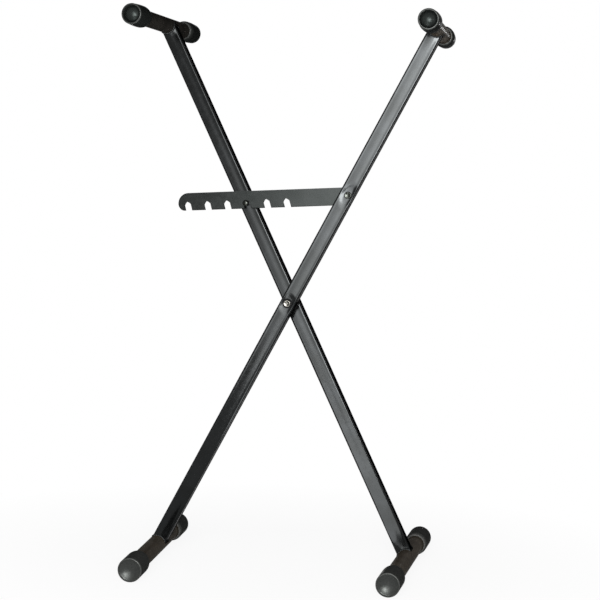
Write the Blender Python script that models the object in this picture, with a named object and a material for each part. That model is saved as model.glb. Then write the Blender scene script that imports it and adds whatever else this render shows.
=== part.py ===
"""Folding X stand for a keyboard.

Two square tube legs cross at one bolt. Each leg carries a round arm across its top and a round foot
across its lower end, and every arm and foot wears a long rubber cap at each end. A notched locking bar
turns on a rivet in the front leg and hooks over a pin in the rear leg, which sets how wide the legs open.

Metres. X runs to the right, Y away from the viewer and Z up, with the floor at Z = 0. The two legs turn
about the Y axis through the pivot bolt.
"""

from collections import namedtuple
from math import asin, atan2, cos, hypot, pi, radians, sin, sqrt

import bmesh
import bpy
from mathutils import Matrix, Vector

# Space left between pieces that touch on the real stand
SEAT_GAP = 0.0003

# Legs
LEG_TILT = radians(26.7)
ARM_REACH = 0.520
FOOT_REACH = 0.479
LEG_WIDTH = 0.025
LEG_DEPTH = 0.025
LEG_WALL = 0.0015
LEG_CORNER = 0.0035
LEG_CLEARANCE = 0.011

# Arms and feet, measured over their caps
ARM_DIAMETER = 0.0262
FOOT_DIAMETER = 0.030
BAR_WALL = 0.0015
ARM_LENGTH = 0.340
FOOT_LENGTH = 0.377
ARM_LAG = 0.004
FOOT_LEAD = 0.024

# How far each bar is welded out of square with its leg
FRONT_ARM_TURN = radians(0.6)
FRONT_FOOT_TURN = radians(2.7)
REAR_ARM_TURN = radians(2.5)
REAR_FOOT_TURN = radians(1.7)

# Rubber caps
ARM_CAP_DIAMETER = 0.036
ARM_CAP_LENGTH = 0.059
ARM_CAP_TAPER = 0.0022
ARM_CAP_NECK = 0.016
ARM_CAP_DISH = 0.0044
ARM_CAP_CROWN = 0.0036
FOOT_CAP_DIAMETER = 0.040
FOOT_CAP_LENGTH = 0.065
FOOT_CAP_TAPER = 0.0
FOOT_CAP_NECK = 0.013
FOOT_CAP_DISH = 0.0014
FOOT_CAP_CROWN = -0.0040
CAP_BAND = 0.014
CAP_LIP = 0.0011
CAP_FLOOR = 0.0095
CAP_EDGE = 0.0018
CAP_RIM_WIDTH = 0.0004
CAP_DISH_DRAFT = 0.0002
CAP_GROOVE_WIDTH = 0.0007

# Main pivot
PIVOT_BOLT_DIAMETER = 0.008
PIVOT_HEAD_DIAMETER = 0.0125
PIVOT_HEAD_HEIGHT = 0.0036
PIVOT_RECESS_LENGTH = 0.0070
PIVOT_RECESS_WIDTH = 0.0016
PIVOT_RECESS_DEPTH = 0.0018
PIVOT_THREAD_END = 0.002
BUSH_BARREL_DIAMETER = 0.012
BUSH_BARREL_LENGTH = 0.004
BUSH_FLANGE_DIAMETER = 0.0165
BUSH_FLANGE = 0.0012
SPACER_DIAMETER = 0.028
PIVOT_WASHER_DIAMETER = 0.0165
PIVOT_WASHER = 0.0016
PIVOT_NUT_FLATS = 0.013
PIVOT_NUT_HEIGHT = 0.0055
PIVOT_NUT_COLLAR = 0.0025

# Locking bar, sized from its rivet along the bar (towards the free end) and up and down across it
RIVET_REACH = 0.2092
RIVET_OFFSET = 0.0025
PLATE_THICKNESS = 0.003
PLATE_ABOVE = 0.0138
PLATE_BELOW = 0.0162
PLATE_TAIL = 0.007
PLATE_END_RADIUS = 0.018
PLATE_NOSE_RADIUS = 0.0125
PLATE_FINGER = 0.0165
NOTCHES = 6
NOTCHES_PAST_PIN = 3
NOTCH_PITCH = 0.0345
NOTCH_WIDTH = 0.0105
NOTCH_DEPTH = 0.0148
NOTCH_CORNER = 0.0040
NOTCH_SLANT_INNER = radians(14)
NOTCH_SLANT_OUTER = radians(11)

# Rivet that the locking bar turns on
RIVET_DIAMETER = 0.0064
RIVET_HEAD_DIAMETER = 0.0135
RIVET_HEAD_HEIGHT = 0.0032
RIVET_TAIL_DIAMETER = 0.012
RIVET_TAIL_HEIGHT = 0.0024
LATCH_WASHER_DIAMETER = 0.018
LATCH_WASHER = 0.0012

# Pin that the locking bar hooks over
PIN_REACH = 0.186
PIN_DIAMETER = 0.006
PIN_HEAD_DIAMETER = 0.0105
PIN_HEAD_HEIGHT = 0.0028
PIN_COLLAR_DIAMETER = 0.0105
PIN_WASHER_DIAMETER = 0.013
PIN_WASHER = 0.0014
PIN_NUT_FLATS = 0.010
PIN_NUT_HEIGHT = 0.0044
PIN_NUT_COLLAR = 0.0018
PIN_THREAD_END = 0.0015

# Facets round the turned pieces
CAP_SIDES = 24
BAR_SIDES = 24
SMALL_SIDES = 24
CORNER_STEPS = 3
DOME_STEPS = 3
NECK_STEPS = 6

# A cap's size over all, and the form of its end. A crown below nothing is a hollow.
Cap = namedtuple("Cap", "diameter length taper neck dish crown")
ARM_CAP = Cap(ARM_CAP_DIAMETER, ARM_CAP_LENGTH, ARM_CAP_TAPER, ARM_CAP_NECK, ARM_CAP_DISH, ARM_CAP_CROWN)
FOOT_CAP = Cap(FOOT_CAP_DIAMETER, FOOT_CAP_LENGTH, FOOT_CAP_TAPER, FOOT_CAP_NECK, FOOT_CAP_DISH, FOOT_CAP_CROWN)

# An arm or a foot, with the cap that goes on each of its ends
Bar = namedtuple("Bar", "diameter length cap")
ARM = Bar(ARM_DIAMETER, ARM_LENGTH, ARM_CAP)
FOOT = Bar(FOOT_DIAMETER, FOOT_LENGTH, FOOT_CAP)

# What follows from the sizes above
LEG_SPACING = LEG_DEPTH + LEG_CLEARANCE
PIVOT_HEIGHT = FOOT_REACH * cos(LEG_TILT) + FOOT_CAP_DIAMETER / 2
FRONT_LEG_Y = FOOT_LEAD - LEG_SPACING / 2
REAR_LEG_Y = FOOT_LEAD + LEG_SPACING / 2
LEG_FACE = LEG_DEPTH / 2 + SEAT_GAP
PLATE_FRONT = LEG_FACE + LATCH_WASHER + SEAT_GAP
PLATE_BACK = PLATE_FRONT + PLATE_THICKNESS
NOTCH_CENTRE = PLATE_BELOW - NOTCH_DEPTH + NOTCH_WIDTH / 2

FACE_FRONT = Matrix.Rotation(radians(90), 4, "X")
FACE_BACK = Matrix.Rotation(radians(-90), 4, "X")


def clear_scene():
    for thing in list(bpy.data.objects):
        bpy.data.objects.remove(thing, do_unlink=True)


# Materials


def material(name, colour, roughness, metallic):
    """A plain surface with the piece's own colour, roughness and metallic value."""
    surface = bpy.data.materials.get(name) or bpy.data.materials.new(name)
    surface.use_nodes = True
    surface.diffuse_color = (*colour, 1.0)
    shader = surface.node_tree.nodes["Principled BSDF"]
    shader.inputs["Base Color"].default_value = (*colour, 1.0)
    shader.inputs["Roughness"].default_value = roughness
    shader.inputs["Metallic"].default_value = metallic
    return surface


def black_paint():
    return material("black_paint", (0.030, 0.031, 0.032), 0.38, 0.0)


def plate_paint():
    return material("plate_paint", (0.055, 0.059, 0.057), 0.5, 0.0)


def black_rubber():
    return material("black_rubber", (0.018, 0.020, 0.019), 0.6, 0.0)


def black_nylon():
    return material("black_nylon", (0.020, 0.020, 0.021), 0.5, 0.0)


def zinc():
    return material("zinc_plate", (0.72, 0.72, 0.70), 0.3, 1.0)


def black_steel():
    return material("black_steel", (0.035, 0.035, 0.036), 0.35, 0.6)


# Frames that the pieces are placed in


def frame(name, place, lean=0.0):
    """An empty on a joint's axis, turned about Y by the lean."""
    empty = bpy.data.objects.new(name, None)
    empty.empty_display_size = 0.05
    bpy.context.scene.collection.objects.link(empty)
    empty.matrix_basis = Matrix.Translation(Vector(place)) @ Matrix.Rotation(lean, 4, "Y")
    return empty


# Meshes


def finished(name, shape, surface, parent, place, sharp=radians(35)):
    """Makes the object of a bmesh, shades it smooth apart from its sharp edges and puts it in its frame."""
    bmesh.ops.recalc_face_normals(shape, faces=shape.faces)
    mesh = bpy.data.meshes.new(name)
    shape.to_mesh(mesh)
    shape.free()
    mesh.shade_smooth()
    mesh.set_sharp_from_angle(angle=sharp)
    piece = bpy.data.objects.new(name, mesh)
    bpy.context.scene.collection.objects.link(piece)
    if surface:
        mesh.materials.append(surface)
    piece.parent = parent
    piece.matrix_basis = place
    return piece


def ring_of(shape, flats, height, sides, hexagonal=False):
    """Points of one ring about Z, by its size across flats, or one point where that size is nothing."""
    if flats == 0:
        return [shape.verts.new((0, 0, height))]
    ring = []
    for i in range(sides):
        angle = 2 * pi * (i if hexagonal else i + 0.5) / sides
        reach = flats / 2 / cos(pi / sides)
        if hexagonal:
            reach = flats / 2 / cos((angle % (pi / 3)) - pi / 6)
        ring.append(shape.verts.new((reach * cos(angle), reach * sin(angle), height)))
    return ring


def join_rings(shape, low, high):
    """Faces between two rings, either of which may be a single point."""
    count = max(len(low), len(high))
    for i in range(count):
        corners = []
        for vert in (low[i % len(low)], low[(i + 1) % len(low)], high[(i + 1) % len(high)], high[i % len(high)]):
            if vert not in corners:
                corners.append(vert)
        shape.faces.new(corners)


def turned(name, profile, surface, parent, place, sides=SMALL_SIDES, closed=False):
    """A piece turned about its Z axis from (diameter, height) points. A closed profile leaves a bore."""
    shape = bmesh.new()
    rings = [ring_of(shape, diameter, height, sides) for diameter, height in profile]
    for low, high in zip(rings, rings[1:]):
        join_rings(shape, low, high)
    if closed:
        join_rings(shape, rings[-1], rings[0])
    return finished(name, shape, surface, parent, place)


def tube(name, outer, bore, length, surface, parent, place, sides):
    """A round tube, centred on its frame, along Z."""
    low, high = -length / 2, length / 2
    profile = [(outer, low), (outer, high), (bore, high), (bore, low)]
    return turned(name, profile, surface, parent, place, sides, closed=True)


def washer(name, outer, bore, thickness, surface, parent, place):
    """A flat ring that stands on its frame, towards +Z."""
    profile = [(outer, 0), (outer, thickness), (bore, thickness), (bore, 0)]
    return turned(name, profile, surface, parent, place, closed=True)


def arc(centre, radius, start, end, steps):
    """Points along an arc, from one angle to the other."""
    angles = [start + (end - start) * i / steps for i in range(steps + 1)]
    return [(centre[0] + radius * cos(a), centre[1] + radius * sin(a)) for a in angles]


def dome(diameter, height, base):
    """Profile of a shallow dome, from its edge at the base to its crown, as (diameter, height) points."""
    half = diameter / 2
    radius = (half ** 2 + height ** 2) / (2 * height)
    spread = asin(min(1.0, half / radius))
    points = []
    for i in range(DOME_STEPS + 1):
        angle = spread * (1 - i / DOME_STEPS)
        points.append((2 * radius * sin(angle), base + radius * cos(angle) - (radius - height)))
    points[-1] = (0, base + height)
    return points


def extruded(name, outline, thickness, surface, parent, place):
    """A flat piece with this outline in X and Z, from Y = 0 to its thickness."""
    shape = bmesh.new()
    front = [shape.verts.new((x, 0, z)) for x, z in outline]
    back = [shape.verts.new((x, thickness, z)) for x, z in outline]
    shape.faces.new(front)
    shape.faces.new(back[::-1])
    join_rings(shape, front, back)
    return finished(name, shape, surface, parent, place)


def rounded_rectangle(width, depth, corner):
    points = []
    for x, y, start in ((1, 1, 0), (-1, 1, pi / 2), (-1, -1, pi), (1, -1, 3 * pi / 2)):
        centre = (x * (width / 2 - corner), y * (depth / 2 - corner))
        points += arc(centre, corner, start, start + pi / 2, CORNER_STEPS)
    return points


def square_tube(name, low, high, surface, parent):
    """A leg's tube along Z, with rounded corners outside and in."""
    outer = rounded_rectangle(LEG_WIDTH, LEG_DEPTH, LEG_CORNER)
    inner = rounded_rectangle(LEG_WIDTH - 2 * LEG_WALL, LEG_DEPTH - 2 * LEG_WALL, LEG_CORNER - LEG_WALL)
    shape = bmesh.new()
    loops = []
    for outline, height in ((outer, low), (outer, high), (inner, high), (inner, low)):
        loops.append([shape.verts.new((x, y, height)) for x, y in outline])
    for start, end in zip(loops, loops[1:] + loops[:1]):
        join_rings(shape, start, end)
    return finished(name, shape, surface, parent, Matrix.Identity(4))


# Cuts


def cut(piece, cutter):
    """Takes the cutter away from the piece and keeps it out of sight."""
    change = piece.modifiers.new(cutter.name, "BOOLEAN")
    change.operation = "DIFFERENCE"
    change.solver = "EXACT"
    change.object = cutter
    cutter.hide_render = True
    cutter.display_type = "WIRE"


def drill(piece, name, diameter, parent, place, length):
    """A round hole along Z of the given place, which is the middle of its length."""
    low, high = -length / 2, length / 2
    profile = [(0, low), (diameter, low), (diameter, high), (0, high)]
    cut(piece, turned(name, profile, None, parent, place))


# Arms and feet


def bar_place(lean, turn, reach):
    """Where a leg's arm or foot crosses it: level, along Y, turned a little out of square as on the real stand."""
    level = Matrix.Rotation(-lean, 4, "Y")
    return Matrix.Translation((0, 0, reach)) @ level @ Matrix.Rotation(turn, 4, "Z")


def cap_end(cap, dish):
    """Section of the middle of a cap's end: a crown that stands in the dish, or a hollow."""
    floor = cap.length - cap.dish
    side = 1 if cap.crown > 0 else -1
    rise = dome(dish - 2 * CAP_GROOVE_WIDTH, abs(cap.crown), 0)[::-1]
    return [(diameter, floor + side * height) for diameter, height in rise]


def cap_profile(bar):
    """Section of a rubber cap, from the middle of its dished end, over its rim and neck, to its bore's floor."""
    cap = bar.cap
    end = cap.diameter - cap.taper
    rim = end - 2 * (CAP_EDGE + CAP_RIM_WIDTH)
    dish = rim - 2 * CAP_DISH_DRAFT
    points = cap_end(cap, dish) + [(dish, cap.length - cap.dish), (rim, cap.length)]
    edge = (end / 2 - CAP_EDGE, cap.length - CAP_EDGE)
    points += [(2 * r, z) for r, z in arc(edge, CAP_EDGE, pi / 2, 0, CORNER_STEPS)]
    points += [(cap.diameter, cap.neck + CAP_BAND)]
    mouth = bar.diameter + 2 * CAP_LIP
    for i in range(NECK_STEPS + 1):
        angle = pi / 2 * i / NECK_STEPS
        points.append((mouth + (cap.diameter - mouth) * cos(angle), cap.neck * (1 - sin(angle))))
    bore = bar.diameter + 2 * SEAT_GAP
    points += [(bore, 0), (bore, cap.length - CAP_FLOOR), (0, cap.length - CAP_FLOOR)]
    return points


def add_bar(name, bar, parent, place):
    """A round steel bar across a leg with a rubber cap on each end."""
    steel = bar.length - 2 * (CAP_FLOOR + SEAT_GAP)
    bore = bar.diameter - 2 * BAR_WALL
    tube(name + "_bar", bar.diameter, bore, steel, black_paint(), parent, place @ FACE_BACK, BAR_SIDES)
    shift = Matrix.Translation((0, 0, bar.length / 2 - bar.cap.length))
    for end, facing in (("front_cap", FACE_FRONT), ("back_cap", FACE_BACK)):
        where = place @ facing @ shift
        turned(f"{name}_{end}", cap_profile(bar), black_rubber(), parent, where, CAP_SIDES)


def cope(leg, name, bar, parent, place):
    """The saddle that a leg's end is cut to, so that it fits round its bar."""
    drill(leg, name, bar.diameter + 2 * SEAT_GAP, parent, place @ FACE_BACK, 3 * LEG_DEPTH)


# Legs


def add_leg(name, parent, lean, arm_turn, foot_turn, arm_middle):
    """A leg's tube with its saddles and bolt hole, and the arm and foot that it carries.

    The arm's middle is measured from the leg.
    """
    leg = square_tube(name + "_tube", -FOOT_REACH, ARM_REACH, black_paint(), parent)
    arm = bar_place(lean, arm_turn, ARM_REACH)
    foot = bar_place(lean, foot_turn, -FOOT_REACH)
    cope(leg, name + "_arm_saddle_cut", ARM, parent, arm)
    cope(leg, name + "_foot_saddle_cut", FOOT, parent, foot)
    drill(leg, name + "_pivot_cut", BUSH_BARREL_DIAMETER + 2 * SEAT_GAP, parent, FACE_BACK, 2 * LEG_DEPTH)
    add_bar(name + "_arm", ARM, parent, arm @ Matrix.Translation((0, arm_middle, 0)))
    add_bar(name + "_foot", FOOT, parent, foot @ Matrix.Translation((0, -FOOT_LEAD, 0)))
    add_bush(name + "_front_bush", parent, FACE_FRONT)
    add_bush(name + "_back_bush", parent, FACE_BACK)
    return leg


def add_bush(name, parent, facing):
    """A flanged nylon bush in one wall of a leg, with its flange outside."""
    bore = PIVOT_BOLT_DIAMETER + 2 * SEAT_GAP
    barrel = BUSH_BARREL_DIAMETER
    profile = [
        (bore, -BUSH_BARREL_LENGTH),
        (barrel, -BUSH_BARREL_LENGTH),
        (barrel, 0),
        (BUSH_FLANGE_DIAMETER, 0),
        (BUSH_FLANGE_DIAMETER, BUSH_FLANGE),
        (bore, BUSH_FLANGE),
    ]
    place = facing @ Matrix.Translation((0, 0, LEG_FACE))
    turned(name, profile, black_nylon(), parent, place, closed=True)


# Main pivot


def lock_nut(name, flats, bore, height, collar, surface, parent, place):
    """A hexagon nut with the round collar that holds its locking ring, standing on its frame."""
    shape = bmesh.new()
    waist = 0.9 * flats
    crown = (flats + bore) / 2
    rings = [
        ring_of(shape, flats, 0, SMALL_SIDES, hexagonal=True),
        ring_of(shape, flats, height, SMALL_SIDES, hexagonal=True),
        ring_of(shape, waist, height, SMALL_SIDES),
        ring_of(shape, crown, height + collar, SMALL_SIDES),
        ring_of(shape, bore, height + collar, SMALL_SIDES),
        ring_of(shape, bore, 0, SMALL_SIDES),
    ]
    for low, high in zip(rings, rings[1:] + rings[:1]):
        join_rings(shape, low, high)
    return finished(name, shape, surface, parent, place)


def cross_outline(length, width):
    """Outline of a screw's cross recess."""
    arm, side = length / 2, width / 2
    corner = [(arm, -side), (arm, side), (side, side)]
    points = []
    for turn in range(4):
        c, s = cos(turn * pi / 2), sin(turn * pi / 2)
        points += [(c * x - s * z, s * x + c * z) for x, z in corner]
    return points


def add_pivot(parent):
    """The bolt through both legs, the spacer between them, and the washer and lock nut behind."""
    seat = LEG_FACE + BUSH_FLANGE + SEAT_GAP
    back = LEG_SPACING + seat
    nut_seat = back + PIVOT_WASHER + SEAT_GAP
    shank = nut_seat + PIVOT_NUT_HEIGHT + PIVOT_NUT_COLLAR + PIVOT_THREAD_END
    head = dome(PIVOT_HEAD_DIAMETER, PIVOT_HEAD_HEIGHT, seat)
    profile = [(0, -shank), (PIVOT_BOLT_DIAMETER, -shank), (PIVOT_BOLT_DIAMETER, seat)] + head
    bolt = turned("pivot_bolt", profile, zinc(), parent, FACE_FRONT)
    outline = cross_outline(PIVOT_RECESS_LENGTH, PIVOT_RECESS_WIDTH)
    top = -seat - PIVOT_HEAD_HEIGHT
    recess = Matrix.Translation((0, top - PIVOT_RECESS_DEPTH, 0))
    cut(bolt, extruded("pivot_bolt_recess_cut", outline, 2 * PIVOT_RECESS_DEPTH, None, parent, recess))
    bore = PIVOT_BOLT_DIAMETER + 2 * SEAT_GAP
    thickness = LEG_CLEARANCE - 2 * (2 * SEAT_GAP + BUSH_FLANGE)
    spacer = Matrix.Translation((0, seat, 0)) @ FACE_BACK
    washer("pivot_spacer", SPACER_DIAMETER, bore, thickness, black_nylon(), parent, spacer)
    behind = Matrix.Translation((0, back, 0)) @ FACE_BACK
    washer("pivot_washer", PIVOT_WASHER_DIAMETER, bore, PIVOT_WASHER, zinc(), parent, behind)
    nut = Matrix.Translation((0, nut_seat, 0)) @ FACE_BACK
    lock_nut("pivot_lock_nut", PIVOT_NUT_FLATS, bore, PIVOT_NUT_HEIGHT, PIVOT_NUT_COLLAR, zinc(), parent, nut)


# Locking bar


def pin_offset():
    """How far the pin lies from the rivet, across the stand and down."""
    across = (RIVET_REACH + PIN_REACH) * sin(LEG_TILT) + RIVET_OFFSET * cos(LEG_TILT)
    drop = (RIVET_REACH - PIN_REACH) * cos(LEG_TILT) - RIVET_OFFSET * sin(LEG_TILT)
    return across, drop


def plate_tilt():
    """The slope that brings the notch down onto the pin."""
    across, drop = pin_offset()
    return atan2(drop, across) - asin(NOTCH_CENTRE / hypot(across, drop))


def notch_places():
    """Distance of each notch from the rivet, and its slant. The pin bears on its notch's outer wall."""
    across, drop = pin_offset()
    along = sqrt(across ** 2 + drop ** 2 - NOTCH_CENTRE ** 2)
    held = along - (NOTCH_WIDTH / 2 - PIN_DIAMETER / 2 - SEAT_GAP)
    places = []
    for i in range(NOTCHES):
        slant = NOTCH_SLANT_INNER + (NOTCH_SLANT_OUTER - NOTCH_SLANT_INNER) * i / (NOTCHES - 1)
        places.append((held + (i + NOTCHES_PAST_PIN - NOTCHES + 1) * NOTCH_PITCH, slant))
    return places


def notch_outline(along, slant):
    """One notch from its mouth's inner corner, up and over its rounded end, to the mouth's outer corner."""
    inset = NOTCH_WIDTH / 2 - NOTCH_CORNER
    upright = arc((-inset, inset), NOTCH_CORNER, pi, pi / 2, CORNER_STEPS)
    upright += arc((inset, inset), NOTCH_CORNER, pi / 2, 0, CORNER_STEPS)
    points = []
    for x, z in upright:
        points.append((along + x * cos(slant) + z * sin(slant), -NOTCH_CENTRE - x * sin(slant) + z * cos(slant)))
    corners = []
    for x, z in (points[0], points[-1]):
        drop = (z + PLATE_BELOW) / cos(slant)
        corners.append((x - drop * sin(slant), -PLATE_BELOW))
    return [corners[0]] + points + [corners[1]]


def plate_outline():
    """The locking bar's edge, as distance from the rivet towards the free end, and height."""
    tail = (PLATE_ABOVE + PLATE_BELOW) / 2
    points = arc((tail - PLATE_TAIL, PLATE_ABOVE - tail), tail, pi / 2, 3 * pi / 2, 4 * CORNER_STEPS)
    places = notch_places()
    for along, slant in places:
        points += notch_outline(along, slant)
    end = places[-1][0] + PLATE_FINGER
    shoulder = PLATE_ABOVE - PLATE_END_RADIUS
    nose = PLATE_NOSE_RADIUS
    underside = asin(min(1, (PLATE_BELOW + shoulder) / nose))
    points += arc((end - nose, shoulder), nose, -underside, 0, 2 * CORNER_STEPS)
    points += arc((end - PLATE_END_RADIUS, shoulder), PLATE_END_RADIUS, 0, pi / 2, 2 * CORNER_STEPS)[1:]
    return points


def add_locking_bar(parent):
    """The notched plate. Its frame stands on the rivet's axis, at the plate's front face."""
    outline = [(-along, height) for along, height in plate_outline()]
    plate = extruded("locking_bar", outline, PLATE_THICKNESS, plate_paint(), parent, Matrix.Identity(4))
    hole = RIVET_DIAMETER + 2 * SEAT_GAP
    drill(plate, "locking_bar_rivet_cut", hole, parent, FACE_BACK, 4 * PLATE_THICKNESS)


def add_latch_rivet(leg, parent):
    """The rivet through the front leg that the locking bar turns on, and the washer between the two."""
    place = Matrix.Translation((RIVET_OFFSET, 0, RIVET_REACH))
    tail = -PLATE_BACK - SEAT_GAP
    profile = [(0, tail - RIVET_TAIL_HEIGHT), (RIVET_TAIL_DIAMETER, tail - RIVET_TAIL_HEIGHT)]
    profile += [(RIVET_TAIL_DIAMETER, tail), (RIVET_DIAMETER, tail), (RIVET_DIAMETER, LEG_FACE)]
    profile += dome(RIVET_HEAD_DIAMETER, RIVET_HEAD_HEIGHT, LEG_FACE)
    turned("latch_rivet", profile, black_steel(), parent, place @ FACE_FRONT)
    hole = RIVET_DIAMETER + 2 * SEAT_GAP
    drill(leg, "latch_rivet_cut", hole, parent, place @ FACE_BACK, 2 * LEG_DEPTH)
    ring = place @ Matrix.Translation((0, LEG_FACE, 0)) @ FACE_BACK
    washer("latch_washer", LATCH_WASHER_DIAMETER, hole, LATCH_WASHER, black_nylon(), parent, ring)


def add_hook_pin(leg, parent):
    """The shouldered pin through the rear leg that the locking bar hooks over, with its washer and nut."""
    place = Matrix.Translation((0, 0, PIN_REACH))
    collar = LEG_SPACING - PLATE_BACK - SEAT_GAP
    head = LEG_SPACING - PLATE_FRONT + SEAT_GAP
    nut_seat = LEG_FACE + PIN_WASHER + SEAT_GAP
    end = -(nut_seat + PIN_NUT_HEIGHT + PIN_NUT_COLLAR + PIN_THREAD_END)
    profile = [(0, end), (PIN_DIAMETER, end), (PIN_DIAMETER, LEG_FACE), (PIN_COLLAR_DIAMETER, LEG_FACE)]
    profile += [(PIN_COLLAR_DIAMETER, collar), (PIN_DIAMETER, collar), (PIN_DIAMETER, head)]
    profile += dome(PIN_HEAD_DIAMETER, PIN_HEAD_HEIGHT, head)
    turned("hook_pin", profile, black_steel(), parent, place @ FACE_FRONT)
    hole = PIN_DIAMETER + 2 * SEAT_GAP
    drill(leg, "hook_pin_cut", hole, parent, place @ FACE_BACK, 2 * LEG_DEPTH)
    behind = place @ Matrix.Translation((0, LEG_FACE, 0)) @ FACE_BACK
    washer("hook_pin_washer", PIN_WASHER_DIAMETER, hole, PIN_WASHER, zinc(), parent, behind)
    nut = place @ Matrix.Translation((0, nut_seat, 0)) @ FACE_BACK
    lock_nut("hook_pin_nut", PIN_NUT_FLATS, hole, PIN_NUT_HEIGHT, PIN_NUT_COLLAR, zinc(), parent, nut)


def build():
    clear_scene()
    front = frame("front_leg_frame", (0, FRONT_LEG_Y, PIVOT_HEIGHT), LEG_TILT)
    rear = frame("rear_leg_frame", (0, REAR_LEG_Y, PIVOT_HEIGHT), -LEG_TILT)
    across, rise = RIVET_OFFSET, RIVET_REACH
    rivet_x = rise * sin(LEG_TILT) + across * cos(LEG_TILT)
    rivet_z = PIVOT_HEIGHT + rise * cos(LEG_TILT) - across * sin(LEG_TILT)
    latch = frame("latch_frame", (rivet_x, FRONT_LEG_Y + PLATE_FRONT, rivet_z), -plate_tilt())
    front_leg = add_leg("front_leg", front, LEG_TILT, FRONT_ARM_TURN, FRONT_FOOT_TURN, ARM_LAG)
    rear_leg = add_leg("rear_leg", rear, -LEG_TILT, -REAR_ARM_TURN, -REAR_FOOT_TURN, ARM_LAG - LEG_SPACING)
    add_pivot(front)
    add_latch_rivet(front_leg, front)
    add_locking_bar(latch)
    add_hook_pin(rear_leg, rear)
    bpy.context.view_layer.update()


build()
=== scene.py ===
"""Looks of the folding X stand for a keyboard: finishes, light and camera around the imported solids.

Metres, in the frame's own axes: X right, Y away from the viewer, Z up, with the floor at Z = 0.
"""

import random
from collections import namedtuple
from math import asin, cos, hypot, pi, radians, sin, sqrt

import bmesh
import bpy
from mathutils import Matrix, Vector


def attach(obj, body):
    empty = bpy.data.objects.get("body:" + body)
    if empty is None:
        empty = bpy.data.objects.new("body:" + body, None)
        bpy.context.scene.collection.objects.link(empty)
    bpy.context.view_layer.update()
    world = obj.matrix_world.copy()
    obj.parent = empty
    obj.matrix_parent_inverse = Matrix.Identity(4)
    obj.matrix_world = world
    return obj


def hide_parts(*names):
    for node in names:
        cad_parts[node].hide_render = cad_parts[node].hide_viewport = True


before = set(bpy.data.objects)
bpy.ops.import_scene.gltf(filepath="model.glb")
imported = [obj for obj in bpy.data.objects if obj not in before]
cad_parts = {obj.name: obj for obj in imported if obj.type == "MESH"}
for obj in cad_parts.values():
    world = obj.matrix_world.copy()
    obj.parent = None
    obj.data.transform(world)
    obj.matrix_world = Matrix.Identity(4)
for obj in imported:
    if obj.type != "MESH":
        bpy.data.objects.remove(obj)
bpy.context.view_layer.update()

# Camera, from a fit of the stand's edges in the photograph
CAMERA_PLACE = Vector((0.50817, -2.71859, 0.65213))
CAMERA_YAW = -0.1775
CAMERA_PITCH = -0.0715
CAMERA_ROLL = 0.0363
CAMERA_LENS = 98.29
SENSOR = 36.0

# Distance of the studio's panels in front of the stand
PANEL_Y = -3.1
# Left edge, right edge and brightness of the wide panel's strips, which fade out to the left
PANELS = ((-0.90, -0.74, 0.8), (-0.74, -0.62, 3.8), (-0.62, -0.52, 6.4), (-0.52, -0.40, 8.8), (-0.40, -0.15, 11.5), (-0.15, 0.10, 17), (0.10, 0.24, 19))

# Left and right edge, far and near edge and brightness of the strips that lie in front of the rear leg's foot
LOW_PANEL_Z = 0.03
LOW_PANELS = (
    (-0.51, -0.28, -3.05, -2.45, 9.4), (-0.39, -0.16, -2.45, -1.90, 9.6), (-0.27, -0.05, -1.90, -1.40, 9.8),
    (-0.17, 0.05, -1.40, -1.00, 9.8), (-0.08, 0.12, -1.00, -0.65, 9.6), (0.0, 0.18, -0.65, -0.35, 7.8),
    (0.09, 0.185, -0.35, -0.13, 6.5), (0.13, 0.185, -0.13, -0.04, 6.5),
)

# Colours
WHITE_FLOOR = (0.95, 0.95, 0.95)
# Pale, dull colour on cap rims, necks, lips and sides: partly real scuffing, partly painted highlight and sheen
SCUFFED_AND_SHEEN = (0.07, 0.07, 0.067)
FLOOR_GLOW = 0.9
FLOOR_FADE_START = 0.28
FLOOR_FADE_END = 0.75
WORLD_LIGHT = 0.2

# Sizes shared with the solids
LEG_TILT = radians(26.7)
PIVOT_HEIGHT = 0.447925
LEG_Y = {"front_leg": 0.006, "rear_leg": 0.042}
LEG_SIDE = {"front_leg": 1, "rear_leg": -1}
LEG_WIDTH = 0.025
LEG_WALL = 0.0015
LEG_CORNER = 0.0025
LEG_FLAT = LEG_WIDTH / 2 - LEG_CORNER
ARM_REACH = 0.520
FOOT_REACH = 0.479
BAR_GAP = 0.0003
BUSH_HOLE = 0.0126
RIVET_PLACE = (0.0025, 0.2092)
PIN_REACH = 0.186

# How a rolled and pressed tube departs from a plain square
FACE_HOLLOW = 0.0003
END_BOW = 0.0012
END_BOW_LENGTH = 0.022
# Slope of each leg's front face at places across it, -1 to 1, positive where it turns to the right
RELIEF = {
    "front_leg": ((-1, 0), (-0.9, 0.08), (-0.75, 0), (-0.35, 0), (0.5, 0.05), (0.68, 0.02), (0.84, -0.035), (1, 0)),
    "rear_leg": ((-1, 0), (-0.9, 0.01), (-0.75, -0.008), (-0.35, 0), (0.1, 0.022), (0.35, 0.014), (0.75, -0.02), (1, 0)),
}
FINE_STEP = 0.0015
COARSE_STEP = 0.012

# Bars: the radius, the reach from the pivot, the turn out of square on each leg, and the cap's form
Bar = namedtuple("Bar", "radius reach turns middles length cap")
Cap = namedtuple("Cap", "diameter length taper neck dish crown")
ARM_CAP = Cap(0.036, 0.059, 0.0022, 0.016, 0.0044, 0.0036)
FOOT_CAP = Cap(0.040, 0.065, 0.0, 0.013, 0.0014, -0.0040)
ARM = Bar(0.0131, ARM_REACH, {"front_leg": 0.6, "rear_leg": -2.5}, {"front_leg": 0.004, "rear_leg": -0.032}, 0.340, ARM_CAP)
FOOT = Bar(0.0150, -FOOT_REACH, {"front_leg": 2.7, "rear_leg": -1.7}, {"front_leg": -0.024, "rear_leg": -0.024}, 0.377, FOOT_CAP)
BAR_KINDS = {"arm": ARM, "foot": FOOT}

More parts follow.
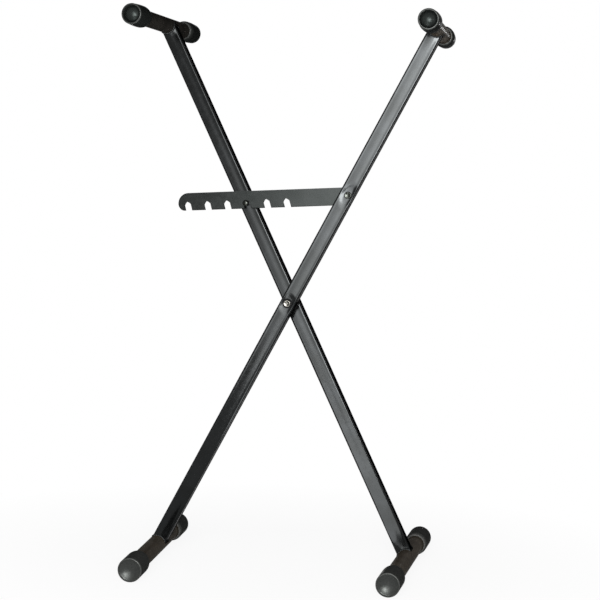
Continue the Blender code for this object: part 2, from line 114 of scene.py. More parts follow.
# Fasteners, weld beads and the locking bar
PIVOT_DENT = 0.0007
RIVET_DENT = 0.0009
DENTS = (((0, 0), PIVOT_DENT, 0.0058, 0.0135, 0.020), (RIVET_PLACE, RIVET_DENT, 0.0045, 0.0138, 0.026))
RIVET_HOLLOW = 0.0006
BOLT_TURN = 27

# How far each part of a cap is painted pale and dull, from 0 to 1: partly real wear, partly painted highlight and sheen
# on rims, necks, lips and sides
ARM_WEAR_AND_SHEEN = {"rim": 0.3, "end": 0, "side": 0.1, "neck": 0.25, "lip": 0.5}
FOOT_WEAR_AND_SHEEN = {"rim": 0.5, "end": 0.3, "side": 0.55, "neck": 0.7, "lip": 1.0}
THREAD_DEPTH = 0.0005
WELD_OUT = 0.0004
WELD_THIN = 0.0010
WELD_THICK = 0.0019
WELD_STEPS = 220
WELD_RIPPLE = 7
NOTCH_FIRST = 0.109793
NOTCH_PITCH = 0.0345
NOTCH_CENTRE = 0.00665
PLATE_FRONT = 0.0143
PLATE_THICKNESS = 0.003
PLATE_TILT = radians(4.115)
PLATE_ROLL = 0.0011


# Node helpers


def material(name):
    """A new material, with its nodes, links and shader."""
    surface = bpy.data.materials.new(name)
    surface.use_nodes = True
    tree = surface.node_tree
    return surface, tree.nodes, tree.links, tree.nodes["Principled BSDF"]


def noise(nodes, links, scale, detail=3.0, roughness=0.5, stretch=(1, 1, 1)):
    """Noise in the object's own space, in features per metre."""
    place = nodes.new("ShaderNodeTexCoord")
    mapping = nodes.new("ShaderNodeMapping")
    mapping.inputs["Scale"].default_value = stretch
    texture = nodes.new("ShaderNodeTexNoise")
    texture.inputs["Scale"].default_value = scale
    texture.inputs["Detail"].default_value = detail
    texture.inputs["Roughness"].default_value = roughness
    links.new(place.outputs["Object"], mapping.inputs["Vector"])
    links.new(mapping.outputs["Vector"], texture.inputs["Vector"])
    return texture.outputs["Fac"]


def spread(nodes, links, source, low, high, start=0.35, end=0.65):
    """Maps the source from start..end to low..high."""
    ramp = nodes.new("ShaderNodeMapRange")
    ramp.inputs["From Min"].default_value = start
    ramp.inputs["From Max"].default_value = end
    ramp.inputs["To Min"].default_value = low
    ramp.inputs["To Max"].default_value = high
    links.new(source, ramp.inputs["Value"])
    return ramp.outputs["Result"]


def blend_colours(nodes, links, factor, first, second):
    mix = nodes.new("ShaderNodeMix")
    mix.data_type = "RGBA"
    mix.inputs["A"].default_value = (*first, 1)
    mix.inputs["B"].default_value = (*second, 1)
    links.new(factor, mix.inputs["Factor"])
    return mix.outputs["Result"]


def bump(nodes, links, shader, height, strength, distance):
    node = nodes.new("ShaderNodeBump")
    node.inputs["Strength"].default_value = strength
    node.inputs["Distance"].default_value = distance
    links.new(height, node.inputs["Height"])
    links.new(node.outputs["Normal"], shader.inputs["Normal"])


def darken_edges(shader, metallic):
    """Keeps a black surface dark where it is seen at a grazing angle."""
    shader.inputs["Metallic"].default_value = metallic
    shader.inputs["Specular Tint"].default_value = (0, 0, 0, 1)
    shader.inputs["Specular IOR Level"].default_value = 0.0


def powder_coat(name, dark, light, low, high, metallic=0.9):
    """Satin powder coat on steel: a fine orange-peel skin over slight variations of tone and gloss."""
    surface, nodes, links, shader = material(name)
    cloud = noise(nodes, links, 28, 4)
    links.new(blend_colours(nodes, links, spread(nodes, links, cloud, 0, 1), dark, light), shader.inputs["Base Color"])
    gloss = noise(nodes, links, 160, 4)
    links.new(spread(nodes, links, gloss, low, high), shader.inputs["Roughness"])
    bump(nodes, links, shader, noise(nodes, links, 900, 3), 0.04, 0.0002)
    darken_edges(shader, metallic)
    return surface


def rubber(name, dark, light):
    """Black rubber, paler and duller where the mask painted on the mesh says so: partly real scuffing, partly painted
    highlight and sheen.
    """
    surface, nodes, links, shader = material(name)
    cloud = noise(nodes, links, 60, 4)
    black = blend_colours(nodes, links, spread(nodes, links, cloud, 0, 1), dark, light)
    # Mask painted on the cap's mesh: partly real scuffing, partly painted highlight and sheen on rims, necks, lips and
    # sides
    wear_and_sheen = nodes.new("ShaderNodeAttribute")
    wear_and_sheen.attribute_name = "wear_and_sheen"
    scuff_and_sheen = nodes.new("ShaderNodeMath")
    scuff_and_sheen.operation = "MULTIPLY"
    links.new(wear_and_sheen.outputs["Fac"], scuff_and_sheen.inputs[0])
    links.new(spread(nodes, links, noise(nodes, links, 420, 4), 0.7, 1), scuff_and_sheen.inputs[1])
    mix = nodes.new("ShaderNodeMix")
    mix.data_type = "RGBA"
    links.new(scuff_and_sheen.outputs["Value"], mix.inputs["Factor"])
    links.new(black, mix.inputs["A"])
    mix.inputs["B"].default_value = (*SCUFFED_AND_SHEEN, 1)
    links.new(mix.outputs["Result"], shader.inputs["Base Color"])
    gloss = noise(nodes, links, 220, 5)
    links.new(spread(nodes, links, gloss, 0.24, 0.34), shader.inputs["Roughness"])
    darken_edges(shader, 0.6)
    links.new(spread(nodes, links, scuff_and_sheen.outputs["Value"], 0.6, 0, 0, 1), shader.inputs["Metallic"])
    bump(nodes, links, shader, noise(nodes, links, 1400, 4), 0.2, 0.0002)
    return surface


def plated_steel(name, colour, low, high):
    surface, nodes, links, shader = material(name)
    links.new(spread(nodes, links, noise(nodes, links, 500, 4), low, high), shader.inputs["Roughness"])
    shader.inputs["Base Color"].default_value = (*colour, 1)
    shader.inputs["Metallic"].default_value = 1.0
    bump(nodes, links, shader, noise(nodes, links, 1800, 2), 0.15, 0.0001)
    return surface


def dress(surface, *names):
    """Puts the finish on these nodes."""
    for name in names:
        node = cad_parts[name]
        node.data.materials.clear()
        node.data.materials.append(surface)
        node.data.shade_smooth()
        node.data.set_sharp_from_angle(angle=radians(35))


def add_clear_coat(surface, weight, roughness):
    shader = surface.node_tree.nodes["Principled BSDF"]
    shader.inputs["Coat Weight"].default_value = weight
    shader.inputs["Coat Roughness"].default_value = roughness


# Frames that the pieces are placed in


def leg_frame(leg):
    lean = LEG_SIDE[leg] * LEG_TILT
    return Matrix.Translation((0, LEG_Y[leg], PIVOT_HEIGHT)) @ Matrix.Rotation(lean, 4, "Y")


def bar_frame(leg, bar):
    """Where a bar crosses its leg, in the leg's own frame: Y runs along the bar."""
    level = Matrix.Rotation(-LEG_SIDE[leg] * LEG_TILT, 4, "Y")
    return Matrix.Translation((0, 0, bar.reach)) @ level @ Matrix.Rotation(radians(bar.turns[leg]), 4, "Z")


# Meshes


def piece(name, shape, place, surface, body, slot, *nodes, sharp=35):
    """Makes an object of the bmesh, in its place, on its body, in place of these nodes."""
    bmesh.ops.recalc_face_normals(shape, faces=shape.faces)
    shape.transform(place)
    mesh = bpy.data.meshes.new(name)
    shape.to_mesh(mesh)
    shape.free()
    mesh.materials.append(surface)
    thing = bpy.data.objects.new(name, mesh)
    bpy.context.scene.collection.objects.link(thing)
    smooth(mesh, sharp)
    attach(thing, body)
    if nodes:
        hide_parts(*nodes)
    return thing


def smooth(mesh, sharp=35):
    mesh.shade_smooth()
    mesh.set_sharp_from_angle(angle=radians(sharp))


def ring(shape, points):
    return [shape.verts.new(p) for p in points]


def join_rings(shape, low, high):
    """Faces between two closed rings, either of which may be a single point."""
    count = max(len(low), len(high))
    for i in range(count):
        corners = []
        for vert in (low[i % len(low)], low[(i + 1) % len(low)], high[(i + 1) % len(high)], high[i % len(high)]):
            if vert not in corners:
                corners.append(vert)
        shape.faces.new(corners)


def turned(profile, sides=72):
    """A bmesh turned about Z from (diameter, height) points."""
    shape = bmesh.new()
    rings = []
    for diameter, height in profile:
        if diameter == 0:
            rings.append(ring(shape, [(0, 0, height)]))
            continue
        angles = [2 * pi * i / sides for i in range(sides)]
        rings.append(ring(shape, [(diameter / 2 * cos(a), diameter / 2 * sin(a), height) for a in angles]))
    for low, high in zip(rings, rings[1:]):
        join_rings(shape, low, high)
    return shape


def arc(centre, radius, start, end, steps):
    angles = [start + (end - start) * i / steps for i in range(steps + 1)]
    return [(centre[0] + radius * cos(a), centre[1] + radius * sin(a)) for a in angles]


def carved(thing, *cutters):
    """Cuts the cutters out of a piece's mesh."""
    for cutter in cutters:
        change = thing.modifiers.new("cut", "BOOLEAN")
        change.operation = "DIFFERENCE"
        change.solver = "EXACT"
        change.object = cutter
    bpy.context.view_layer.update()
    seen = thing.evaluated_get(bpy.context.evaluated_depsgraph_get())
    mesh = bpy.data.meshes.new_from_object(seen)
    thing.modifiers.clear()
    thing.data = mesh
    smooth(mesh)
    for cutter in cutters:
        bpy.data.objects.remove(cutter, do_unlink=True)


def cutter(place, radius, length, sides=96):
    mesh = bpy.data.meshes.new("cutter")
    shape = turned([(0, -length / 2), (2 * radius, -length / 2), (2 * radius, length / 2), (0, length / 2)], sides)
    bmesh.ops.recalc_face_normals(shape, faces=shape.faces)
    shape.to_mesh(mesh)
    shape.free()
    thing = bpy.data.objects.new("cutter", mesh)
    bpy.context.scene.collection.objects.link(thing)
    thing.matrix_world = place
    return thing


# Legs


def section():
    """Points round a rounded square, each with its outward direction and its place across its face, -1 to 1."""
    half, flat = LEG_WIDTH / 2, LEG_FLAT
    points = []
    for turn in range(4):
        c, s = cos(turn * pi / 2), sin(turn * pi / 2)
        side = [(half, flat * t / 12, 1, 0, t / 12) for t in range(-12, 12)]
        for x, y in arc((flat, flat), LEG_CORNER, 0, pi / 2, 7)[:-1]:
            side.append((x, y, (x - flat) / LEG_CORNER, (y - flat) / LEG_CORNER, 1))
        points += [(c * x - s * y, s * x + c * y, c * nx - s * ny, s * nx + c * ny, t) for x, y, nx, ny, t in side]
    return points


def dent(x, z, middle, depth, seat, across, along):
    """Depth of a dish pressed round a fastener: level under its head, and running out at the ellipse."""
    far = hypot((x - middle[0]) / across, (z - middle[1]) / along)
    start = seat / across
    run = min(1, max(0, (far - start) / (1 - start)))
    return depth * (1 + cos(pi * run)) / 2


def relief(leg, t):
    """How far the front face lies in at this place across it, summed up from its slopes."""
    depth = 0
    for (start, first), (end, last) in zip(RELIEF[leg], RELIEF[leg][1:]):
        if t > start:
            run = min(t, end) - start
            slope = first + (last - first) * run / (end - start)
            depth += (first + slope) / 2 * run * LEG_FLAT
    return depth


def pressed(leg, x, y, nx, ny, t, z):
    """How far this point of the tube's skin lies inside the plain square."""
    low = -FOOT_REACH + 0.015
    high = ARM_REACH - 0.013
    end = min(z - low, high - z)
    if ny < 0 and nx > -0.01:
        depth = -ny * relief(leg, t)
    else:
        depth = FACE_HOLLOW * (1 - t ** 4)
    depth -= END_BOW * abs(ny) * (1 - t * t) * max(0, 1 - max(0, end) / END_BOW_LENGTH) ** 2
    if leg == "front_leg" and ny < 0:
        for d in DENTS:
            depth += -ny * dent(x, z, *d)
    return depth


def stations(leg):
    """Heights of the rings along a leg: close together near its dishes and its ends."""
    low, high = -FOOT_REACH, ARM_REACH
    heights = [low]
    while heights[-1] < high:
        z = heights[-1]
        near = min(z - low, high - z) < 0.03
        if leg == "front_leg":
            near = near or any(abs(z - d[0][1]) < d[4] + 0.012 for d in DENTS)
        heights.append(min(high, z + (FINE_STEP if near else COARSE_STEP)))
    return heights


def add_leg_tube(leg, surface):
    """A leg's tube with the slight hollows of its faces, the dishes under its fasteners and its saddles."""
    shape = bmesh.new()
    outer, inner = [], []
    for z in stations(leg):
        skin, bore = [], []
        for x, y, nx, ny, t in section():
            depth = pressed(leg, x, y, nx, ny, t, z)
            skin.append((x - nx * depth, y - ny * depth, z))
            wall = depth + LEG_WALL
            bore.append((x - nx * wall, y - ny * wall, z))
        outer.append(ring(shape, skin))
        inner.append(ring(shape, bore))
    for rings in (outer, inner):
        for low, high in zip(rings, rings[1:]):
            join_rings(shape, low, high)
    join_rings(shape, outer[0], inner[0])
    join_rings(shape, outer[-1], inner[-1])
    place = leg_frame(leg)
    tube = piece(leg + "_tube_pressed", shape, place, surface, leg + "_assembly", "leg_paint", leg + "_tube")
    along_y = Matrix.Rotation(radians(90), 4, "X")
    cutters = [cutter(place @ bar_frame(leg, bar) @ along_y, bar.radius + BAR_GAP, 0.08) for bar in (ARM, FOOT)]
    cutters.append(cutter(place @ along_y, BUSH_HOLE / 2, 0.05))
    if leg == "front_leg":
        x, z = RIVET_PLACE
        cutters.append(cutter(place @ Matrix.Translation((x, 0, z)) @ along_y, 0.0035, 0.05, 48))
    else:
        cutters.append(cutter(place @ Matrix.Translation((0, 0, PIN_REACH)) @ along_y, 0.0033, 0.05, 48))
    carved(tube, *cutters)


def saddle_height(x, y, bar, axis):
    """Where a line along the leg at this point of its section meets the bar, from the bar's middle."""
    side = -1 if bar.reach > 0 else 1
    along = x * axis.x + y * axis.y
    a = 1 - axis.z ** 2
    b = -2 * axis.z * along
    c = x * x + y * y - along ** 2 - bar.radius ** 2
    return (-b + side * sqrt(max(0, b * b - 4 * a * c))) / (2 * a)


def add_weld(leg, name, bar, surface):
    """The bead of weld under the paint, all round the joint of a leg and its bar."""
    rng = random.Random(len(leg) * 31 + len(name))
    axis = (bar_frame(leg, bar).to_3x3() @ Vector((0, 1, 0))).normalized()
    side = -1 if bar.reach > 0 else 1
    path = []
    for x, y, nx, ny, t in section():
        z = bar.reach + saddle_height(x + nx * WELD_OUT, y + ny * WELD_OUT, bar, axis) + side * WELD_OUT
        path.append((Vector((x + nx * WELD_OUT, y + ny * WELD_OUT, z)), abs(ny)))
    path = even_points(path, WELD_STEPS)
    shape = bmesh.new()
    rings = []
    count = len(path)
    for i, (middle, front) in enumerate(path):
        tangent = (path[(i + 1) % count][0] - path[i - 1][0]).normalized()
        up = Vector((0, 0, 1))
        out = tangent.cross(up).normalized()
        up = out.cross(tangent)
        ripple = 1 + 0.10 * sin(i * 2 * pi / WELD_RIPPLE) + rng.uniform(-0.04, 0.04)
        radius = (WELD_THIN + (WELD_THICK - WELD_THIN) * front) * ripple
        angles = [2 * pi * k / 12 for k in range(12)]
        rings.append(ring(shape, [middle + radius * (cos(a) * out + sin(a) * up) for a in angles]))
    for low, high in zip(rings, rings[1:] + rings[:1]):
        join_rings(shape, low, high)
    piece(f"{leg}_{name}_weld", shape, leg_frame(leg), surface, leg + "_assembly", "leg_paint", sharp=60)


def even_points(path, count):
    """The closed path again, in evenly spaced points."""
    lengths = [0]
    for (a, _), (b, _) in zip(path, path[1:] + path[:1]):
        lengths.append(lengths[-1] + (b - a).length)
    points = []
    k = 0
    for i in range(count):
        want = lengths[-1] * i / count
        while lengths[k + 1] < want:
            k += 1
        f = (want - lengths[k]) / (lengths[k + 1] - lengths[k])
        (a, fa), (b, fb) = path[k], path[(k + 1) % len(path)]
        points.append((a.lerp(b, f), fa + (fb - fa) * f))
    return points


# Caps


def cap_profile(bar):
    """Section of a rubber cap, from the middle of its end, over its rim and neck, to its bore's floor."""
    cap = bar.cap
    end = cap.diameter - cap.taper
    rim = end - 0.0048
    floor = cap.length - cap.dish
    wide = rim - (0.0062 if cap.crown > 0 else 0.0018)
    side = 1 if cap.crown > 0 else -1
    crown = abs(cap.crown)
    radius = ((wide / 2) ** 2 + crown ** 2) / (2 * crown)
    spread = asin(wide / 2 / radius)
    points = []
    for i in range(13):
        angle = spread * i / 12
        points.append((2 * radius * sin(angle), floor + side * (crown - radius * (1 - cos(angle)))))
    if cap.crown > 0:
        points += [(wide + 0.0014, floor - 0.0012), (wide + 0.0030, floor - 0.0024), (rim - 0.0008, floor - 0.0008)]
    else:
        points += [(rim - 0.0010, floor + 0.0001), (rim - 0.0004, floor + 0.0005)]
    points += [(rim, cap.length - 0.0004)]
    points += [(rim + 0.0004, cap.length)]
    edge = 0.0018
    points += [(2 * r, z) for r, z in arc((end / 2 - edge, cap.length - edge), edge, pi / 2, 0, 8)]
    step = cap.neck + 0.014
    part = 0.0010 / (cap.length - edge - step)
    points += [(end + part * cap.taper, cap.length - edge - 0.0010)]
    points += [(cap.diameter, step + 0.0003), (cap.diameter, step)]
    mouth = 2 * bar.radius + 0.0022
    for i in range(25):
        angle = pi / 2 * i / 24
        points.append((mouth + (cap.diameter - mouth) * cos(angle), cap.neck * (1 - sin(angle))))
    bore = 2 * bar.radius + 2 * BAR_GAP
    points += [(bore + 0.0005, -0.0000), (bore, 0.0004), (bore, cap.length - 0.0095), (0, cap.length - 0.0095)]
    return points


def scuff_and_sheen(shape, bar):
    """Paints on a cap's mesh how pale and dull each part of it is: partly real wear, partly painted highlight and
    sheen.
    """
    cap = bar.cap
    wear_and_sheen = FOOT_WEAR_AND_SHEEN if bar is FOOT else ARM_WEAR_AND_SHEEN
    layer = shape.verts.layers.float.new("wear_and_sheen")
    for vert in shape.verts:
        far = hypot(vert.co.x, vert.co.y)
        z = vert.co.z
        if z > cap.length - 0.0020 and far > cap.diameter / 2 - cap.taper / 2 - 0.0026:
            vert[layer] = wear_and_sheen["rim"]
        elif z > cap.length - 0.0080 and far < cap.diameter / 2 - cap.taper / 2 - 0.0020:
            vert[layer] = wear_and_sheen["end"]
        elif z < 0.12 * cap.neck and far > bar.radius + 0.0004:
            vert[layer] = wear_and_sheen["lip"]
        elif z < 0.6 * cap.neck and far > bar.radius + 0.0004:
            vert[layer] = wear_and_sheen["neck"]
        elif far > bar.radius + 0.0015:
            vert[layer] = wear_and_sheen["side"]
    return shape


def add_caps(leg, name, bar, surface):
    shift = Matrix.Translation((0, 0, bar.length / 2 - bar.cap.length))
    middle = Matrix.Translation((0, bar.middles[leg], 0))
    for end, angle in (("front_cap", 90), ("back_cap", -90)):
        facing = Matrix.Rotation(radians(angle), 4, "X")
        node = f"{leg}_{name}_{end}"
        place = leg_frame(leg) @ bar_frame(leg, bar) @ middle @ facing @ shift
        piece(node + "_moulded", scuff_and_sheen(turned(cap_profile(bar)), bar), place, surface, leg + "_assembly", "cap_rubber", node)


# Fasteners and the locking bar


def cross_cutter(place, top):
    """A tapered cross, for the recess in a screw's head."""
    shape = bmesh.new()
    rings = []
    for z, arm, side in ((0.001, 0.0036, 0.0009), (-0.0002, 0.0032, 0.0008), (-0.0024, 0.0016, 0.0005)):
        points = []
        for turn in range(4):
            c, s = cos(turn * pi / 2), sin(turn * pi / 2)
            for x, y in ((arm, -side), (arm, side), (side, side)):
                points.append((c * x - s * y, s * x + c * y, top + z))
        rings.append(ring(shape, points))
    for low, high in zip(rings, rings[1:]):
        join_rings(shape, low, high)
    shape.faces.new(rings[0])
    shape.faces.new(rings[-1][::-1])
    bmesh.ops.recalc_face_normals(shape, faces=shape.faces)
    mesh = bpy.data.meshes.new("cross")
    shape.to_mesh(mesh)
    shape.free()
    thing = bpy.data.objects.new("cross", mesh)
    bpy.context.scene.collection.objects.link(thing)
    thing.matrix_world = place
    return thing


def pan_head(diameter, height, base, steps=10):
    """Profile of a rounded screw head, from its edge to its crown."""
    points = [(diameter - 0.0006, base), (diameter, base + 0.0004)]
    for i in range(1, steps + 1):
        a = pi / 2 * i / steps
        points.append((diameter * cos(a) ** 0.8 if i < steps else 0, base + 0.0004 + (height - 0.0004) * sin(a)))
    return points


def dished_head(diameter, height, base, hollow=0.0007):
    """Profile of a screw head with a rounded rim and a slightly hollow top."""
    points = [(diameter - 0.0006, base), (diameter, base + 0.0004), (diameter, base + height / 2)]
    points += [(diameter - 0.0004, base + 0.75 * height), (diameter - 0.0012, base + 0.92 * height)]
    points += [(diameter - 0.0022, base + 0.99 * height)]
    for i in range(9):
        r = 1 - i / 8
        points.append(((diameter - 0.0030) * r, base + height - hollow * (1 - r * r)))
    return points


def threaded(diameter, start, end, pitch):
    """Profile of a thread's ridges along Z, from the start up to the end."""
    points = []
    z = start
    while z + pitch <= end:
        points += [(diameter - 2 * THREAD_DEPTH, z), (diameter, z + pitch / 2)]
        z += pitch
    return points + [(diameter - 2 * THREAD_DEPTH, z)]


def add_pivot_bolt(surface, nylon):
    """The front flange and the bolt's head sit down in the dish that they press into the tube."""
    place = leg_frame("front_leg") @ Matrix.Rotation(radians(90), 4, "X")
    seat = LEG_WIDTH / 2 - PIVOT_DENT + 0.0001
    flange = [(0.0086, seat - 0.0045), (0.012, seat - 0.0045), (0.012, seat), (0.0161, seat), (0.0165, seat + 0.0002)]
    flange += [(0.0165, seat + 0.0009), (0.0159, seat + 0.0012), (0.0086, seat + 0.0012), (0.0086, seat - 0.0045)]
    piece("front_leg_front_bush_seated", turned(flange), place, nylon, "front_leg_assembly", "bush_nylon", "front_leg_front_bush")
    base = seat + 0.0012
    back = -(0.036 + 0.0125 + 0.0003 + 0.0012 + 0.0003 + 0.0016 + 0.0003 + 0.0055 + 0.0025 + 0.002)
    profile = [(0, back), (0.0062, back)] + threaded(0.008, back + 0.0006, back + 0.0118, 0.00125)
    profile += [(0.008, back + 0.0124), (0.008, base)] + dished_head(0.0125, 0.0036, base)
    bolt = piece("pivot_bolt_seated", turned(profile), place, surface, "front_leg_assembly", "zinc_plate", "pivot_bolt")
    carved(bolt, cross_cutter(place @ Matrix.Rotation(radians(BOLT_TURN), 4, "Z"), base + 0.0036))


def add_rivet(surface):
    x, z = RIVET_PLACE
    place = leg_frame("front_leg") @ Matrix.Translation((x, 0, z)) @ Matrix.Rotation(radians(90), 4, "X")
    seat = LEG_WIDTH / 2 - RIVET_DENT + 0.0001
    tail = -(LEG_WIDTH / 2 + 0.0003 + 0.0012 + 0.0003 + 0.003 + 0.0003)
    profile = [(0, tail - 0.0024), (0.0098, tail - 0.0024), (0.012, tail - 0.0012), (0.0119, tail), (0.0064, tail)]
    profile += [(0.0064, seat), (0.0116, seat), (0.0122, seat + 0.0003), (0.0122, seat + 0.0010), (0.0118, seat + 0.0016)]
    profile += [(0.0108, seat + 0.0020), (0.0098, seat + 0.0022)]
    profile += [(0.0088 * (1 - i / 8), seat + 0.0022 - RIVET_HOLLOW * (1 - (1 - i / 8) ** 2)) for i in range(9)]
    piece("latch_rivet_seated", turned(profile), place, surface, "front_leg_assembly", "black_steel", "latch_rivet")


def notch_places():
    """Distance of each notch from the rivet, with its slant."""
    return [(NOTCH_FIRST + i * NOTCH_PITCH, radians(14 - 3 * i / 5)) for i in range(6)]


def plate_outline():
    """The locking bar's edge, as distance from the rivet towards the free end, and height."""
    points = arc((0.008, -0.0012), 0.015, pi, 3 * pi / 2, 16)
    for along, slant in notch_places():
        inset = 0.00525 - 0.0040
        rounded = arc((-inset, inset), 0.0040, pi, pi / 2, 8) + arc((inset, inset), 0.0040, pi / 2, 0, 8)
        upright = [(along + x * cos(slant) + z * sin(slant), -NOTCH_CENTRE - x * sin(slant) + z * cos(slant)) for x, z in rounded]
        feet = [(x - (z + 0.0162) / cos(slant) * sin(slant), -0.0162) for x, z in (upright[0], upright[-1])]
        points += [feet[0]] + upright + [feet[1]]
    end = NOTCH_FIRST + 5 * NOTCH_PITCH + 0.0165
    points += arc((end - 0.0125, 0.0138 - 0.018), 0.0125, -asin(0.96), 0, 12)
    points += arc((end - 0.018, 0.0138 - 0.018), 0.018, 0, pi / 2, 12)[1:]
    points += arc((0.008, -0.0012), 0.015, pi / 2, pi, 16)[:-1]
    return points


def add_plate(surface):
    """The locking bar, with the edges that its punch has rolled over."""
    outline = [(-along, height) for along, height in plate_outline()]
    shape = bmesh.new()
    front = ring(shape, [(x, 0, z) for x, z in outline])
    back = ring(shape, [(x, PLATE_THICKNESS, z) for x, z in outline])
    faces = [shape.faces.new(front), shape.faces.new(back[::-1])]
    join_rings(shape, front, back)
    edges = [edge for face in faces for edge in face.edges]
    bmesh.ops.bevel(shape, geom=edges, offset=PLATE_ROLL, segments=4, profile=0.5, affect="EDGES", clamp_overlap=True)
    flat = [face for face in shape.faces if len(face.verts) > 40]
    for face in flat:
        bmesh.ops.inset_region(shape, faces=[face], thickness=0.0003)
    x, z = RIVET_PLACE
    rivet = leg_frame("front_leg") @ Vector((x, 0, z))
    place = Matrix.Translation((rivet.x, rivet.y + PLATE_FRONT, rivet.z)) @ Matrix.Rotation(-PLATE_TILT, 4, "Y")
    plate = piece("locking_bar_rolled", shape, place, surface, "locking_bar_assembly", "plate_paint", "locking_bar", sharp=50)
    carved(plate, cutter(place @ Matrix.Rotation(radians(90), 4, "X"), 0.0035, 0.02, 48))


def add_pin(surface):
    place = leg_frame("rear_leg") @ Matrix.Translation((0, 0, PIN_REACH)) @ Matrix.Rotation(radians(90), 4, "X")
    end = -0.0222
    profile = [(0, end), (0.0048, end)] + threaded(0.006, end + 0.0005, end + 0.0075, 0.001)
    profile += [(0.006, end + 0.008), (0.006, 0.0126), (0.0101, 0.0126), (0.0105, 0.0129), (0.0105, 0.0180)]
    profile += [(0.0101, 0.0184), (0.006, 0.0184), (0.006, 0.0220)] + pan_head(0.0104, 0.0027, 0.0220)
    piece("hook_pin_turned", turned(profile), place, surface, "rear_leg_assembly", "black_steel", "hook_pin")


# Floor, light and camera


def background_rays(nodes, links):
    """1 for the rays that show the background: straight from the camera, in gloss and through glass."""
    path = nodes.new("ShaderNodeLightPath")
    value = path.outputs["Is Camera Ray"]
    for name in ("Is Glossy Ray", "Is Transmission Ray"):
        join = nodes.new("ShaderNodeMath")
        join.operation = "MAXIMUM"
        links.new(value, join.inputs[0])
        links.new(path.outputs[name], join.inputs[1])
        value = join.outputs["Value"]
    return value


def add_floor():
    """A white floor that keeps a soft shadow near the stand and runs out into the white background."""
    mesh = bpy.data.meshes.new("floor")
    mesh.from_pydata([(-9, -9, 0), (9, -9, 0), (9, 9, 0), (-9, 9, 0)], [], [(0, 1, 2, 3)])
    floor = bpy.data.objects.new("floor", mesh)
    bpy.context.scene.collection.objects.link(floor)
    surface, nodes, links, shader = material("floor_white")
    shader.inputs["Base Color"].default_value = (*WHITE_FLOOR, 1)
    shader.inputs["Roughness"].default_value = 0.9
    shader.inputs["Specular IOR Level"].default_value = 0.0
    glow = nodes.new("ShaderNodeEmission")
    glow.inputs["Color"].default_value = (1, 1, 1, 1)
    place = nodes.new("ShaderNodeTexCoord")
    length = nodes.new("ShaderNodeVectorMath")
    length.operation = "LENGTH"
    links.new(place.outputs["Object"], length.inputs[0])
    far = spread(nodes, links, length.outputs["Value"], FLOOR_GLOW, 1, FLOOR_FADE_START, FLOOR_FADE_END)
    both = nodes.new("ShaderNodeMath")
    both.operation = "MULTIPLY"
    links.new(far, both.inputs[0])
    links.new(background_rays(nodes, links), both.inputs[1])
    mix = nodes.new("ShaderNodeMixShader")
    links.new(both.outputs["Value"], mix.inputs["Fac"])
    links.new(shader.outputs["BSDF"], mix.inputs[1])
    links.new(glow.outputs["Emission"], mix.inputs[2])
    links.new(mix.outputs["Shader"], nodes["Material Output"].inputs["Surface"])
    mesh.materials.append(surface)


def add_world():
    """Even white light, and a plain white background."""
    world = bpy.data.worlds.new("studio")
    bpy.context.scene.world = world
    world.use_nodes = True
    nodes, links = world.node_tree.nodes, world.node_tree.links
    background = nodes["Background"]
    background.inputs["Color"].default_value = (1, 1, 1, 1)
    seen = background_rays(nodes, links)
    links.new(spread(nodes, links, seen, WORLD_LIGHT, 1, 0, 1), background.inputs["Strength"])


def add_lamp(name, place, aim, size, power):
    data = bpy.data.lights.new(name, "AREA")
    data.shape = "RECTANGLE"
    data.size, data.size_y = size
    data.energy = power
    lamp = bpy.data.objects.new(name, data)
    bpy.context.scene.collection.objects.link(lamp)
    lamp.matrix_world = Matrix.Translation(place) @ (aim - place).to_track_quat("-Z", "Y").to_matrix().to_4x4()
    lamp.visible_camera = False


def add_panel(name, across, upright, radiance):
    """An upright lamp that faces the stand from the panel plane, given by its edges and its brightness."""
    size = (across[1] - across[0], upright[1] - upright[0])
    x, z = sum(across) / 2, sum(upright) / 2
    power = pi * radiance * size[0] * size[1]
    add_lamp(name, Vector((x, PANEL_Y, z)), Vector((x, 0, z)), size, power)


def add_low_panel(name, left, right, far, near, radiance):
    """A flat lamp near the floor that shines up, given by its edges and its brightness."""
    place = Vector(((left + right) / 2, (far + near) / 2, LOW_PANEL_Z))
    power = pi * radiance * (right - left) * (near - far)
    add_lamp(name, place, place + Vector((0, 0, 1)), (right - left, near - far), power)


def add_camera():
    forward = Vector((sin(CAMERA_YAW) * cos(CAMERA_PITCH), cos(CAMERA_YAW) * cos(CAMERA_PITCH), sin(CAMERA_PITCH)))
    level = Vector((cos(CAMERA_YAW), -sin(CAMERA_YAW), 0))
    above = level.cross(forward)
    right = cos(CAMERA_ROLL) * level + sin(CAMERA_ROLL) * above
    up = -sin(CAMERA_ROLL) * level + cos(CAMERA_ROLL) * above
    data = bpy.data.cameras.new("camera")
    data.lens = CAMERA_LENS
    data.sensor_width = SENSOR
    camera = bpy.data.objects.new("camera", data)
    bpy.context.scene.collection.objects.link(camera)
    turn = Matrix((right, up, -forward)).transposed().to_4x4()
    camera.matrix_world = Matrix.Translation(CAMERA_PLACE) @ turn
    bpy.context.scene.camera = camera


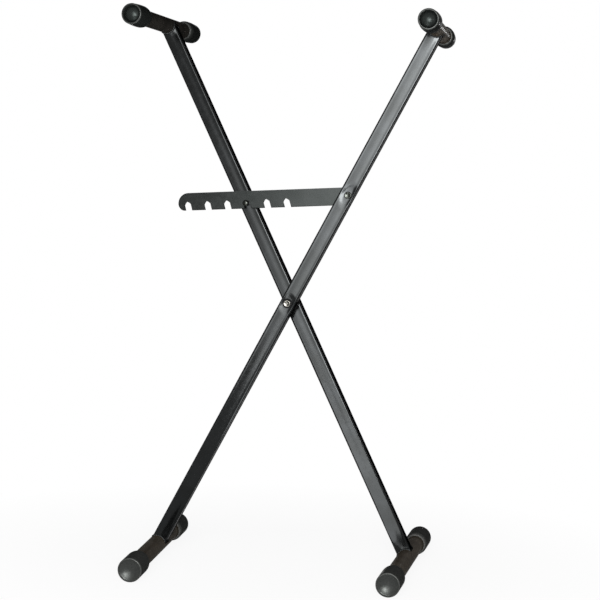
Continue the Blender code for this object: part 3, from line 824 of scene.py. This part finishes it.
LEGS = ("front_leg", "rear_leg")
paint = powder_coat("leg_paint", (0.0145, 0.0152, 0.0152), (0.0172, 0.0182, 0.0186), 0.09, 0.15)
weld_paint = powder_coat("leg_paint_weld", (0.0145, 0.0152, 0.0152), (0.0172, 0.0182, 0.0186), 0.3, 0.38)
bar_paint = powder_coat("bar_paint", (0.043, 0.036, 0.028), (0.065, 0.055, 0.043), 0.2, 0.3, 0.24)
add_clear_coat(bar_paint, 0.03, 0.1)
# A darker, less brown copy of the bar paint: painted shade on the rear leg's arm bar, where less light falls
shaded_bar_paint = powder_coat("bar_paint_painted_shade", (0.015, 0.0138, 0.0125), (0.024, 0.0218, 0.0195), 0.2, 0.3, 0.24)
plate_paint = powder_coat("plate_paint", (0.0121, 0.0133, 0.0129), (0.0146, 0.0158, 0.0155), 0.2, 0.26)
black_rubber = rubber("cap_rubber", (0.0122, 0.0143, 0.0136), (0.0172, 0.0195, 0.0187))
nylon = rubber("bush_nylon", (0.004, 0.004, 0.0042), (0.007, 0.007, 0.0072))
zinc = plated_steel("zinc_plate", (0.078, 0.076, 0.068), 0.10, 0.18)
black_steel = plated_steel("black_steel", (0.0185, 0.0198, 0.0178), 0.10, 0.16)
dress(bar_paint, *[f"{leg}_{bar}_bar" for leg in LEGS for bar in BAR_KINDS])
# Painted shade: the rear leg's arm bar takes the darker copy of the bar paint
dress(shaded_bar_paint, "rear_leg_arm_bar")
dress(nylon, "pivot_spacer", "latch_washer", "front_leg_back_bush", "rear_leg_front_bush", "rear_leg_back_bush")
dress(zinc, "pivot_washer", "pivot_lock_nut", "hook_pin_washer", "hook_pin_nut")
for leg in LEGS:
    add_leg_tube(leg, paint)
    for name, bar in BAR_KINDS.items():
        add_weld(leg, name, bar, weld_paint)
        add_caps(leg, name, bar, black_rubber)
add_pivot_bolt(zinc, nylon)
add_rivet(black_steel)
add_plate(plate_paint)
add_pin(black_steel)
add_floor()
add_world()
for i, (left, right, level) in enumerate(PANELS):
    add_panel(f"panel_{i}", (left, right), (0.04, 1.9), level)
add_panel("hot_box", (0.24, 1.0), (0.2, 1.4), 44)
streak_size = (0.14, 0.22)
add_lamp("streak_box", Vector((0.69, 3.1, 0.96)), Vector((0.69, 0, 0.96)), streak_size, pi * 34 * streak_size[0] * streak_size[1])
for i, (left, right, far, near, level) in enumerate(LOW_PANELS):
    add_low_panel(f"low_panel_{i}", left, right, far, near, level)
add_camera()
bpy.context.scene.view_settings.view_transform = "Standard"
